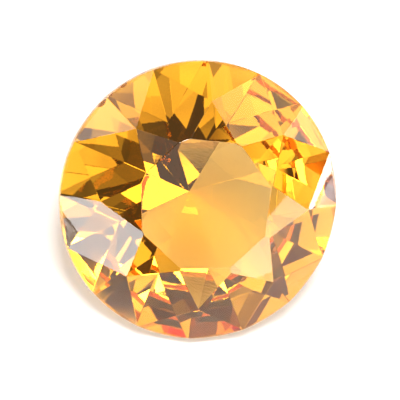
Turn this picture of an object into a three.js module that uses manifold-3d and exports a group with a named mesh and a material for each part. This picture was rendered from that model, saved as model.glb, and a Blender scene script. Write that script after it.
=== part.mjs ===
// Round faceted citrine gemstone: one loose stone, lying on one of its lower main facets.
// Millimetres and degrees. +Z is up, and the surface that the stone lies on is z = 0.
import * as THREE from "three";
import { mergeVertices } from "three/addons/utils/BufferGeometryUtils.js";
import Module from "manifold-3d";

// Driving dimensions
const DIAMETER = 8.0;
const GIRDLE_THICKNESS = 0.36;
const CROWN_ANGLE = 39;
const PAVILION_ANGLE = 33.6;
// Shares of the girdle radius: the table's corners, and how far out a star facet's tip reaches
const TABLE_SHARE = 0.485;
const STAR_SHARE = 0.54;
// How far from the girdle towards the culet the lower girdle facets reach, as a share
const LOWER_HALF_SHARE = 0.66;
// How far the table was ground off level, and towards which side
const TABLE_LEAN = 3;
const TABLE_LEAN_AZIMUTH = 130;
// The lower main that the stone lies on, and the azimuth that it then leans towards
const REST_MAIN_AZIMUTH = 270;
const LEANS_TOWARDS = -67.5;
const FACET_FOLD = 8;
const GIRDLE_SEGMENTS = 96;
const COLOUR = 0xfdb94a;

const RADIUS = DIAMETER / 2;
const HALF_STEP = 180 / FACET_FOLD;
const UP = new THREE.Vector3(0, 0, 1);
const BLANK_HEIGHT = 2 * DIAMETER;
const LAP_SIZE = 3 * DIAMETER;

const wasm = await Module();
wasm.setup();

function radians(degrees) {
  return THREE.MathUtils.degToRad(degrees);
}

// A point at a distance from the stone's axis, at an azimuth, at a height over mid-girdle
function ringPoint(radius, azimuth, height) {
  const angle = radians(azimuth);
  return new THREE.Vector3(radius * Math.cos(angle), radius * Math.sin(angle), height);
}

// The outward normal of a facet that leans by this angle from the girdle plane
function facetNormal(lean, azimuth) {
  const angle = radians(lean);
  return ringPoint(Math.sin(angle), azimuth, Math.cos(angle));
}

function planeAt(normal, point) {
  return new THREE.Plane().setFromNormalAndCoplanarPoint(normal, point);
}

// The plane through three meet points, facing away from the stone's middle
function planeThrough(a, b, c) {
  const plane = new THREE.Plane().setFromCoplanarPoints(a, b, c);
  return plane.constant > 0 ? plane.negate() : plane;
}

// The height on a plane over the girdle plane at a radius and azimuth
function heightOn(plane, radius, azimuth) {
  const flat = ringPoint(radius, azimuth, 0);
  return -(plane.constant + plane.normal.dot(flat)) / plane.normal.z;
}

function solidFrom(geometry) {
  geometry.deleteAttribute("normal");
  geometry.deleteAttribute("uv");
  const merged = mergeVertices(geometry, 1e-5);
  return new wasm.Manifold(new wasm.Mesh({
    numProp: 3,
    vertProperties: merged.attributes.position.array,
    triVerts: Uint32Array.from(merged.index.array),
  }));
}

// Grinding a facet takes away everything on the outer side of its plane
function grind(stone, plane) {
  const lap = new THREE.BoxGeometry(LAP_SIZE, LAP_SIZE, LAP_SIZE);
  const reach = LAP_SIZE / 2 - plane.constant;
  lap.applyQuaternion(new THREE.Quaternion().setFromUnitVectors(UP, plane.normal));
  lap.translate(plane.normal.x * reach, plane.normal.y * reach, plane.normal.z * reach);
  return stone.subtract(solidFrom(lap));
}

// The round blank whose side becomes the girdle
function blank() {
  const rod = new THREE.CylinderGeometry(RADIUS, RADIUS, BLANK_HEIGHT, GIRDLE_SEGMENTS);
  rod.rotateX(Math.PI / 2);
  return solidFrom(rod);
}

// Table, mains, stars and upper girdle facets
function crownPlanes() {
  const girdleTop = GIRDLE_THICKNESS / 2;
  const tableHeight = girdleTop + RADIUS * (1 - TABLE_SHARE) * Math.tan(radians(CROWN_ANGLE));
  const lean = facetNormal(TABLE_LEAN, TABLE_LEAN_AZIMUTH);
  const planes = [planeAt(lean, new THREE.Vector3(0, 0, tableHeight))];
  const edgeRadius = TABLE_SHARE * Math.cos(radians(HALF_STEP));
  const tipRadius = RADIUS * (edgeRadius + (1 - edgeRadius) * STAR_SHARE);
  for (let k = 0; k < FACET_FOLD; k += 1) {
    const star = 2 * HALF_STEP * k;
    const main = star + HALF_STEP;
    const mainPlane = planeAt(facetNormal(CROWN_ANGLE, main), ringPoint(RADIUS, main, girdleTop));
    const tip = ringPoint(tipRadius, star, heightOn(mainPlane, tipRadius, star));
    const cornerBefore = ringPoint(RADIUS * TABLE_SHARE, star - HALF_STEP, tableHeight);
    const cornerAfter = ringPoint(RADIUS * TABLE_SHARE, star + HALF_STEP, tableHeight);
    planes.push(mainPlane);
    planes.push(planeThrough(cornerBefore, tip, cornerAfter));
    for (const side of [-1, 1]) {
      const onGirdle = ringPoint(RADIUS, star, girdleTop);
      const beside = ringPoint(RADIUS, star + side * HALF_STEP, girdleTop);
      planes.push(planeThrough(tip, onGirdle, beside));
    }
  }
  return planes;
}

// Lower mains, which meet at the culet, and the lower girdle facets between them
function pavilionPlanes() {
  const girdleBottom = -GIRDLE_THICKNESS / 2;
  const tipRadius = RADIUS * (1 - LOWER_HALF_SHARE);
  const planes = [];
  for (let k = 0; k < FACET_FOLD; k += 1) {
    const main = 2 * HALF_STEP * k;
    const between = main + HALF_STEP;
    const mainPlane = planeAt(
      facetNormal(180 - PAVILION_ANGLE, main),
      ringPoint(RADIUS, main, girdleBottom),
    );
    const tip = ringPoint(tipRadius, between, heightOn(mainPlane, tipRadius, between));
    planes.push(mainPlane);
    for (const side of [-1, 1]) {
      const onGirdle = ringPoint(RADIUS, between, girdleBottom);
      const beside = ringPoint(RADIUS, between + side * HALF_STEP, girdleBottom);
      planes.push(planeThrough(tip, onGirdle, beside));
    }
  }
  return planes;
}

// Each facet has corners of its own, so that it stays flat and its edges stay crisp
function geometryFrom(solid) {
  const mesh = solid.getMesh();
  const shared = new THREE.BufferGeometry();
  shared.setAttribute("position", new THREE.BufferAttribute(mesh.vertProperties, 3));
  shared.setIndex(new THREE.BufferAttribute(mesh.triVerts, 1));
  const geometry = shared.toNonIndexed();
  geometry.computeVertexNormals();
  return geometry;
}

function cutStone() {
  const solid = [...crownPlanes(), ...pavilionPlanes()].reduce(grind, blank());
  const stone = new THREE.Mesh(
    geometryFrom(solid),
    new THREE.MeshStandardMaterial({ color: COLOUR, roughness: 0.03, metalness: 0 }),
  );
  stone.name = "citrine";
  return stone;
}

// Leans the stone over until one lower main lies flat, turns it and sets it down on z = 0
function restOnMain(stone) {
  const down = facetNormal(180 - PAVILION_ANGLE, REST_MAIN_AZIMUTH);
  const turn = new THREE.Quaternion().setFromAxisAngle(UP, radians(LEANS_TOWARDS - REST_MAIN_AZIMUTH));
  const group = new THREE.Group();
  group.quaternion.setFromUnitVectors(down, UP.clone().negate());
  group.quaternion.premultiply(turn);
  group.add(stone);
  group.updateMatrixWorld(true);
  const box = new THREE.Box3().setFromObject(group, true);
  const middle = box.getCenter(new THREE.Vector3());
  group.position.set(-middle.x, -middle.y, -box.min.z);
  group.updateMatrixWorld(true);
  return group;
}

export default restOnMain(cutStone());
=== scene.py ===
"""Dresses a loose, round, faceted citrine gemstone and sets it in a small light studio."""

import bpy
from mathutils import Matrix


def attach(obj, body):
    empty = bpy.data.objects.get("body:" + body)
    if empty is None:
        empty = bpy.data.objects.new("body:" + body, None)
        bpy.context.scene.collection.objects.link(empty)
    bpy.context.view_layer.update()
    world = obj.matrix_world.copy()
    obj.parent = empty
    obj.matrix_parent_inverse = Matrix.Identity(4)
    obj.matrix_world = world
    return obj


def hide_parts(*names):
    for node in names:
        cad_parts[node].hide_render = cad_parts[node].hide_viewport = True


bl_info = {
    "name": "Faceted Citrine",
    "version": (1, 0, 0),
    "blender": (4, 5, 0),
    "location": "3D View > Sidebar > Citrine",
    "description": "Polishes a cut citrine and lights it on a pale table",
    "category": "Object",
}

import math
from typing import NamedTuple

import bmesh
import bpy
from bpy.props import FloatProperty, FloatVectorProperty, PointerProperty
from bpy.types import Operator, Panel, PropertyGroup
from mathutils import Quaternion, Vector

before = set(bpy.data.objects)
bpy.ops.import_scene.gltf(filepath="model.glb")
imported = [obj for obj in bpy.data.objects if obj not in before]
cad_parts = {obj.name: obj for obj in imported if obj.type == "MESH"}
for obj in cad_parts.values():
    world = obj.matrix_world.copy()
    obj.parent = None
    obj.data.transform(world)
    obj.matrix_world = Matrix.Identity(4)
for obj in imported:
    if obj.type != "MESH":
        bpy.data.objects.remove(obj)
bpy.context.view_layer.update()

STONE_NODE = "citrine"
MM = 0.001

# Facets of the solid that lie within the flat angle are one face, and a sharper fold is an edge
WELD_DISTANCE = 0.002 * MM
FLAT_ANGLE = 0.3
SHARP_ANGLE = 5

# The cut of the solid: it lies on one lower main, and so its own axis leans over by that angle
DIAMETER = 8 * MM
GIRDLE_THICKNESS = 0.36 * MM
PAVILION_ANGLE = 33.6
REST_MAIN_AZIMUTH = 270
LEANS_TOWARDS = -67.5

# The camera's picture is square, with the girdle this wide in it and its middle at this place
IMAGE_WIDTH_PX = 400
STONE_WIDTH_PX = 280
STONE_MIDDLE_PX = (198, 199.5)
SENSOR_WIDTH = 36.0

# Small chips in the girdle's upper edge: azimuth about the stone's axis, and radius of the break
CHIPS = ((138, 0.24 * MM), (133, 0.12 * MM), (126.5, 0.2 * MM))
# As shares of its radius: how far outside the girdle a break is centred, and how far its rough,
# frosted patch with painted brown shade reaches
CHIP_REACH = 0.7
CHIP_ROUGH_AND_SHADE_SHARE = 1.01

# How the polish looks: fine lines one way, a frosted girdle, and broken chips with painted brown
# shade in them
LINE_STRETCH = (3000.0, 16000.0, 9000.0)
FROST_SCALE = 20000.0
FROST_HEIGHT = 0.05
# Up and down from mid-girdle, as a share of its thickness: just short of the worn edges
FROSTED_SHARE = 0.48
GIRDLE_ROUGHNESS = 0.25
CHIP_ROUGHNESS = 0.4
CLEAR = (1.0, 1.0, 1.0, 1.0)
# Painted shade: the dark brown given to the inside of the chips
CHIP_PAINTED_SHADE = (0.3, 0.16, 0.08, 1.0)

# The pale table, just under the stone so that the two never share a plane
TABLE_RADIUS = 1.0
TABLE_GAP = 0.0005 * MM
TABLE_DARK = (0.95, 0.915, 0.9, 1.0)
TABLE_LIGHT = (0.97, 0.94, 0.925, 1.0)
TABLE_GRAIN_SCALE = 60.0
TABLE_ROUGHNESS = 0.7
TABLE_SHEEN = 0.2


class Softbox(NamedTuple):
    """A diffused lamp: where it stands round the stone, its size and how bright it looks."""

    name: str
    azimuth: float
    elevation: float
    width: float
    height: float
    brightness: float
    distance: float = 0.4


class Glow(NamedTuple):
    """A soft patch of light on the room's walls: where it is, how far it spreads, how bright."""

    azimuth: float
    elevation: float
    spread: float
    brightness: float


SOFTBOXES = (
    Softbox("ceiling_softbox", 208, 86, 0.15, 0.15, 20.0),
    Softbox("right_softbox", 68, 71, 0.1, 0.1, 1.6),
    Softbox("front_right_softbox", 68, 43, 0.12, 0.12, 3.5),
    Softbox("left_card", -38, 8, 0.015, 0.006, 8.5, distance=0.022),
    Softbox("right_card", 80, 11, 0.018, 0.008, 4.0, distance=0.022),
    Softbox("back_card", 120, 5, 0.008, 0.004, 12.0, distance=0.024),
)
GLOWS = (
    Glow(13, 50, 20, 2.0),
    Glow(-14, 36, 15, 2.8),
    Glow(52, 52, 14, 0.4),
    Glow(157, 31, 18, 2.5),
    Glow(142, 5, 12, 8.0),
    Glow(238, 30, 20, 2.5),
    Glow(273, 24, 14, 4.5),
    Glow(250, 74, 24, 1.2),
    Glow(310, 52, 22, 1.2),
    Glow(30, 21, 4, 5.0),
    Glow(48, 33, 3, 8.0),
)


class Socket:
    """One output of a shader node. Arithmetic on it adds Math nodes to its tree."""

    def __init__(self, shader, output):
        self.shader = shader
        self.output = output

    def _math(self, operation, *values):
        return self.shader.node("ShaderNodeMath", {"operation": operation}, dict(enumerate(values)))

    def __add__(self, other):
        return self._math("ADD", self, other)

    __radd__ = __add__

    def __sub__(self, other):
        return self._math("SUBTRACT", self, other)

    def __rsub__(self, other):
        return self._math("SUBTRACT", other, self)

    def __mul__(self, other):
        return self._math("MULTIPLY", self, other)

    __rmul__ = __mul__

    def __lt__(self, other):
        return self._math("LESS_THAN", self, other)

    def __gt__(self, other):
        return self._math("GREATER_THAN", self, other)

    def size(self):
        return self._math("ABSOLUTE", self)


class Shader:
    """Builds the node tree of one material, or of the room round the stone."""

    def __init__(self, owner):
        owner.use_nodes = True
        self.owner = owner
        self.tree = owner.node_tree
        self.tree.nodes.clear()

    def node(self, kind, settings=None, inputs=None, output=0):
        """Adds a node, sets its settings, then gives its sockets values or links."""
        made = self.tree.nodes.new(kind)
        for name, value in (settings or {}).items():
            setattr(made, name, value)
        for name, value in (inputs or {}).items():
            if isinstance(value, Socket):
                self.tree.links.new(value.output, made.inputs[name])
            else:
                made.inputs[name].default_value = value
        return Socket(self, made.outputs[output])

    def mix_colour(self, factor, first, second):
        """A colour between two others, by a Mix node."""
        return self.node(
            "ShaderNodeMix",
            {"data_type": "RGBA"},
            {"Factor": factor, "A": first, "B": second},
            output="Result",
        )

    def noise(self, place, scale, detail=2.0):
        """A soft random pattern, finer as its scale goes up."""
        return self.node(
            "ShaderNodeTexNoise",
            inputs={"Vector": place, "Scale": scale, "Detail": detail},
        )

    def vector(self, operation, first, second, output="Vector"):
        """Arithmetic on two vectors."""
        return self.node(
            "ShaderNodeVectorMath",
            {"operation": operation},
            {0: first, 1: second},
            output=output,
        )

    def finish(self, surface, volume=None, kind="ShaderNodeOutputMaterial"):
        """Links the finished shaders to the output, and hands back their owner."""
        out = self.tree.nodes.new(kind)
        self.tree.links.new(surface.output, out.inputs["Surface"])
        if volume:
            self.tree.links.new(volume.output, out.inputs["Volume"])
        return self.owner


class StoneSettings(PropertyGroup):
    """The stone's finish."""

    edge_width: FloatProperty(
        name="Edge Width",
        description="How wide the polished edges between facets are",
        default=0.016 * MM,
        subtype="DISTANCE",
        unit="LENGTH",
    )
    refraction: FloatProperty(
        name="Refraction",
        description="Index of refraction of the stone",
        default=1.55,
        min=1.0,
        max=2.5,
    )
    wave_scale: FloatProperty(
        name="Wave Scale",
        description="How close together the slight waves in the facets are",
        default=350.0,
        min=0.0,
    )
    wave_height: FloatProperty(
        name="Wave Height",
        description="How deep the slight waves in the facets are",
        default=0.015 * MM,
        subtype="DISTANCE",
        unit="LENGTH",
    )
    line_height: FloatProperty(
        name="Line Height",
        description="Depth of the fine polish lines, as a share of the waves",
        default=0.013,
        min=0.0,
    )
    absorption_colour: FloatVectorProperty(
        name="Absorption Colour",
        description="Colour that light keeps as it passes through the stone",
        default=(0.98, 0.76, 0.02),
        size=3,
        subtype="COLOR",
        min=0.0,
        max=1.0,
    )
    absorption_density: FloatProperty(
        name="Absorption Density",
        description="How strongly the stone colours light, per metre of path",
        default=430.0,
        min=0.0,
    )


class StudioSettings(PropertyGroup):
    """The camera and the light round the stone."""

    camera_elevation: FloatProperty(
        name="Camera Elevation",
        description="How far above the table the camera looks from",
        default=math.radians(62.9),
        subtype="ANGLE",
        unit="ROTATION",
    )
    camera_roll: FloatProperty(
        name="Camera Roll",
        description="How far the camera is turned about its own line of sight",
        default=math.radians(22.5),
        subtype="ANGLE",
        unit="ROTATION",
    )
    camera_distance: FloatProperty(
        name="Camera Distance",
        description="From the camera to the middle of the girdle",
        default=0.12,
        subtype="DISTANCE",
        unit="LENGTH",
    )
    room_brightness: FloatProperty(
        name="Room Brightness",
        description="Light that comes from where no softbox stands",
        default=0.12,
        min=0.0,
    )


def ring_point(radius, azimuth, height):
    """A point round the stone's own axis, from the middle of its girdle."""
    turn = math.radians(azimuth)
    return Vector((radius * math.cos(turn), radius * math.sin(turn), height))


def stone_turn():
    """The turn from the stone's own axis to how it lies on its lower main."""
    lean = math.radians(PAVILION_ANGLE)
    down = ring_point(math.sin(lean), REST_MAIN_AZIMUTH, -math.cos(lean))
    turn = math.radians(LEANS_TOWARDS - REST_MAIN_AZIMUTH)
    return Quaternion((0, 0, 1), turn) @ down.rotation_difference(Vector((0, 0, -1)))


def girdle_middle():
    """Where the middle of the girdle is over the table, as far up as the lower main puts it."""
    lean = math.radians(PAVILION_ANGLE)
    height = DIAMETER / 2 * math.sin(lean) + GIRDLE_THICKNESS / 2 * math.cos(lean)
    return Vector((0, 0, height))


def link(thing):
    """Puts a new object into the scene."""
    bpy.context.scene.collection.objects.link(thing)
    return thing


def mesh_object(name, mesh):
    """A new object in the scene with this mesh as its shape."""
    data = bpy.data.meshes.new(name)
    mesh.to_mesh(data)
    mesh.free()
    return link(bpy.data.objects.new(name, data))


def cut_stone_mesh(node, edge_width):
    """A copy of the cut solid with whole facets and narrow worn edges between them."""
    mesh = bmesh.new()
    mesh.from_mesh(node.data)
    bmesh.ops.remove_doubles(mesh, verts=mesh.verts, dist=WELD_DISTANCE)
    bmesh.ops.dissolve_limit(
        mesh,
        angle_limit=math.radians(FLAT_ANGLE),
        verts=mesh.verts,
        edges=mesh.edges,
    )
    bmesh.ops.remove_doubles(mesh, verts=mesh.verts, dist=2 * edge_width)
    sharp = [edge for edge in mesh.edges if edge.calc_face_angle(0) > math.radians(SHARP_ANGLE)]
    bmesh.ops.bevel(
        mesh,
        geom=sharp,
        offset=edge_width,
        offset_type="WIDTH",
        segments=1,
        profile=0.5,
        affect="EDGES",
        clamp_overlap=True,
    )
    return mesh


def chip_middle(azimuth, radius):
    """The middle of the round break that takes a chip out of the girdle's upper edge."""
    reach = DIAMETER / 2 + radius * CHIP_REACH
    return girdle_middle() + stone_turn() @ ring_point(reach, azimuth, GIRDLE_THICKNESS / 2)


def break_chips(stone):
    """Takes the chips out of the stone's mesh."""
    breaks = []
    for azimuth, radius in CHIPS:
        mesh = bmesh.new()
        bmesh.ops.create_icosphere(mesh, subdivisions=2, radius=radius)
        broken = mesh_object("chip_break", mesh)
        broken.location = chip_middle(azimuth, radius)
        cut = stone.modifiers.new("chip", "BOOLEAN")
        cut.operation = "DIFFERENCE"
        cut.solver = "EXACT"
        cut.object = broken
        breaks.append(broken)
    shaped = stone.evaluated_get(bpy.context.evaluated_depsgraph_get())
    whole, stone.data = stone.data, bpy.data.meshes.new_from_object(shaped)
    stone.modifiers.clear()
    stone.data.materials.clear()
    for spent in [whole, *(broken.data for broken in breaks)]:
        bpy.data.meshes.remove(spent)


def chip_mask(shader, place):
    """Where the stone's surface is the inside of a chip: rough, frosted and given painted brown
    shade.
    """
    mask = 0.0
    for azimuth, radius in CHIPS:
        distance = shader.vector("DISTANCE", place, chip_middle(azimuth, radius), output="Value")
        mask = (distance < radius * CHIP_ROUGH_AND_SHADE_SHARE) + mask
    return mask


def citrine_material(settings):
    """Clear golden quartz, with polish lines, a frosted girdle and rough chips that hold painted
    brown shade.
    """
    shader = Shader(bpy.data.materials.new("citrine_polished"))
    place = shader.node("ShaderNodeTexCoord", output="Object")
    axis = stone_turn() @ Vector((0, 0, 1))
    from_middle = shader.vector("SUBTRACT", place, girdle_middle())
    above_girdle = shader.vector("DOT_PRODUCT", from_middle, axis, output="Value")
    girdle = above_girdle.size() < GIRDLE_THICKNESS * FROSTED_SHARE
    chips = chip_mask(shader, place)
    wave = shader.noise(place, settings.wave_scale, 1.0)
    stretched = shader.vector("MULTIPLY", place, LINE_STRETCH)
    lines = shader.noise(stretched, 1.0)
    frost = shader.noise(place, FROST_SCALE)
    height = wave + lines * settings.line_height + frost * (girdle + chips) * FROST_HEIGHT
    relief = shader.node(
        "ShaderNodeBump",
        inputs={"Strength": 1.0, "Distance": settings.wave_height, "Height": height},
    )
    surface = shader.node(
        "ShaderNodeBsdfPrincipled",
        inputs={
            # Painted shade: the chips are coloured brown, darker than the clear stone
            "Base Color": shader.mix_colour(chips, CLEAR, CHIP_PAINTED_SHADE),
            "Roughness": girdle * GIRDLE_ROUGHNESS + chips * CHIP_ROUGHNESS,
            "IOR": settings.refraction,
            "Transmission Weight": 1.0,
            "Normal": relief,
        },
    )
    volume = shader.node(
        "ShaderNodeVolumeAbsorption",
        inputs={
            "Color": (*settings.absorption_colour, 1.0),
            "Density": settings.absorption_density,
        },
    )
    return shader.finish(surface, volume)


def table_material():
    """A plain pale surface with a faint grain."""
    shader = Shader(bpy.data.materials.new("pale_table"))
    place = shader.node("ShaderNodeTexCoord", output="Object")
    grain = shader.noise(place, TABLE_GRAIN_SCALE)
    surface = shader.node(
        "ShaderNodeBsdfPrincipled",
        inputs={
            "Base Color": shader.mix_colour(grain, TABLE_DARK, TABLE_LIGHT),
            "Roughness": TABLE_ROUGHNESS,
            "Specular IOR Level": TABLE_SHEEN,
        },
    )
    return shader.finish(surface)


def direction(azimuth, elevation):
    """From the stone towards a place round it. Azimuth 0 is the camera's side, -Y, and 90 is +X."""
    turn, rise = math.radians(azimuth), math.radians(elevation)
    flat = math.cos(rise)
    return Vector((math.sin(turn) * flat, -math.cos(turn) * flat, math.sin(rise)))


class CITRINE_OT_polish_stone(Operator):
    """Make the polished stone in place of the plain solid"""

    bl_idname = "citrine.polish_stone"
    bl_label = "Polish Stone"

    def execute(self, context):
        settings = context.scene.citrine_stone
        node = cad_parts[STONE_NODE]
        stone = mesh_object("cut_stone", cut_stone_mesh(node, settings.edge_width))
        break_chips(stone)
        stone.data.materials.append(citrine_material(settings))
        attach(stone, "root")
        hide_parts(STONE_NODE)
        return {"FINISHED"}


class CITRINE_OT_set_studio(Operator):
    """Lay the pale table, hang the softboxes and place the camera"""

    bl_idname = "citrine.set_studio"
    bl_label = "Set Studio"

    def execute(self, context):
        settings = context.scene.citrine_studio
        lay_table()
        for softbox in SOFTBOXES:
            hang_softbox(softbox)
        light_room(settings.room_brightness)
        place_camera(settings)
        set_colours(context.scene)
        return {"FINISHED"}


def lay_table():
    """A wide round table top for the stone to lie on."""
    mesh = bmesh.new()
    bmesh.ops.create_circle(mesh, cap_ends=True, segments=64, radius=TABLE_RADIUS)
    top = mesh_object("table_top", mesh)
    top.location.z = -TABLE_GAP
    top.data.materials.append(table_material())


def hang_softbox(softbox):
    """One lamp that faces the stone, and that the camera doesn't see."""
    data = bpy.data.lights.new(softbox.name, "AREA")
    data.shape = "RECTANGLE"
    data.size = softbox.width
    data.size_y = softbox.height
    data.energy = softbox.brightness * math.pi * softbox.width * softbox.height
    lamp = link(bpy.data.objects.new(softbox.name, data))
    away = direction(softbox.azimuth, softbox.elevation)
    lamp.location = away * softbox.distance
    lamp.visible_camera = False
    lamp.rotation_euler = away.to_track_quat("Z", "Y").to_euler()


def light_room(brightness):
    """A dim room with a few soft patches of light on its walls."""
    shader = Shader(bpy.data.worlds.new("room"))
    looked_at = shader.node("ShaderNodeTexCoord", output="Generated")
    light = brightness
    for glow in GLOWS:
        towards = direction(glow.azimuth, glow.elevation)
        nearness = shader.vector("DOT_PRODUCT", looked_at, towards, output="Value")
        patch = shader.node(
            "ShaderNodeMapRange",
            {"interpolation_type": "SMOOTHSTEP"},
            {"Value": nearness, "From Min": math.cos(math.radians(glow.spread)), "From Max": 1.0},
        )
        light = patch * glow.brightness + light
    walls = shader.node("ShaderNodeBackground", inputs={"Strength": light})
    bpy.context.scene.world = shader.finish(walls, kind="ShaderNodeOutputWorld")


def place_camera(settings):
    """Looks at the stone so that its outline falls where the photograph has it."""
    away = direction(0, math.degrees(settings.camera_elevation))
    facing = away.to_track_quat("Z", "Y") @ Quaternion((0, 0, 1), settings.camera_roll)
    view_width = DIAMETER * IMAGE_WIDTH_PX / STONE_WIDTH_PX
    pixel = view_width / IMAGE_WIDTH_PX
    half = IMAGE_WIDTH_PX / 2
    aside = facing @ Vector((
        (half - STONE_MIDDLE_PX[0]) * pixel,
        (STONE_MIDDLE_PX[1] - half) * pixel,
        0,
    ))
    data = bpy.data.cameras.new("camera")
    data.sensor_width = SENSOR_WIDTH
    data.lens = SENSOR_WIDTH * settings.camera_distance / view_width
    data.clip_start = settings.camera_distance / 10
    data.clip_end = 10
    camera = link(bpy.data.objects.new("camera", data))
    camera.location = girdle_middle() + aside + away * settings.camera_distance
    camera.rotation_mode = "QUATERNION"
    camera.rotation_quaternion = facing
    bpy.context.scene.camera = camera


def set_colours(scene):
    """Plain colours, and enough bounces for light to find its way out of the stone."""
    scene.view_settings.view_transform = "Standard"
    scene.cycles.max_bounces = 32
    scene.cycles.transmission_bounces = 32
    scene.cycles.glossy_bounces = 16
    scene.cycles.diffuse_bounces = 4


class CITRINE_PT_sidebar(Panel):
    """Lists the making of the stone and its studio"""

    bl_label = "Faceted Citrine"
    bl_idname = "CITRINE_PT_sidebar"
    bl_space_type = "VIEW_3D"
    bl_region_type = "UI"
    bl_category = "Citrine"

    def draw(self, context):
        layout = self.layout
        layout.operator(CITRINE_OT_polish_stone.bl_idname)
        layout.operator(CITRINE_OT_set_studio.bl_idname)
        for settings in (context.scene.citrine_stone, context.scene.citrine_studio):
            for name in type(settings).__annotations__:
                layout.prop(settings, name)


CLASSES = (
    StoneSettings,
    StudioSettings,
    CITRINE_OT_polish_stone,
    CITRINE_OT_set_studio,
    CITRINE_PT_sidebar,
)


def register():
    for made in CLASSES:
        bpy.utils.register_class(made)
    bpy.types.Scene.citrine_stone = PointerProperty(type=StoneSettings)
    bpy.types.Scene.citrine_studio = PointerProperty(type=StudioSettings)


def unregister():
    del bpy.types.Scene.citrine_studio
    del bpy.types.Scene.citrine_stone
    for made in reversed(CLASSES):
        bpy.utils.unregister_class(made)


def main():
    register()
    bpy.ops.citrine.polish_stone()
    bpy.ops.citrine.set_studio()


if __name__ == "__main__":
    main()
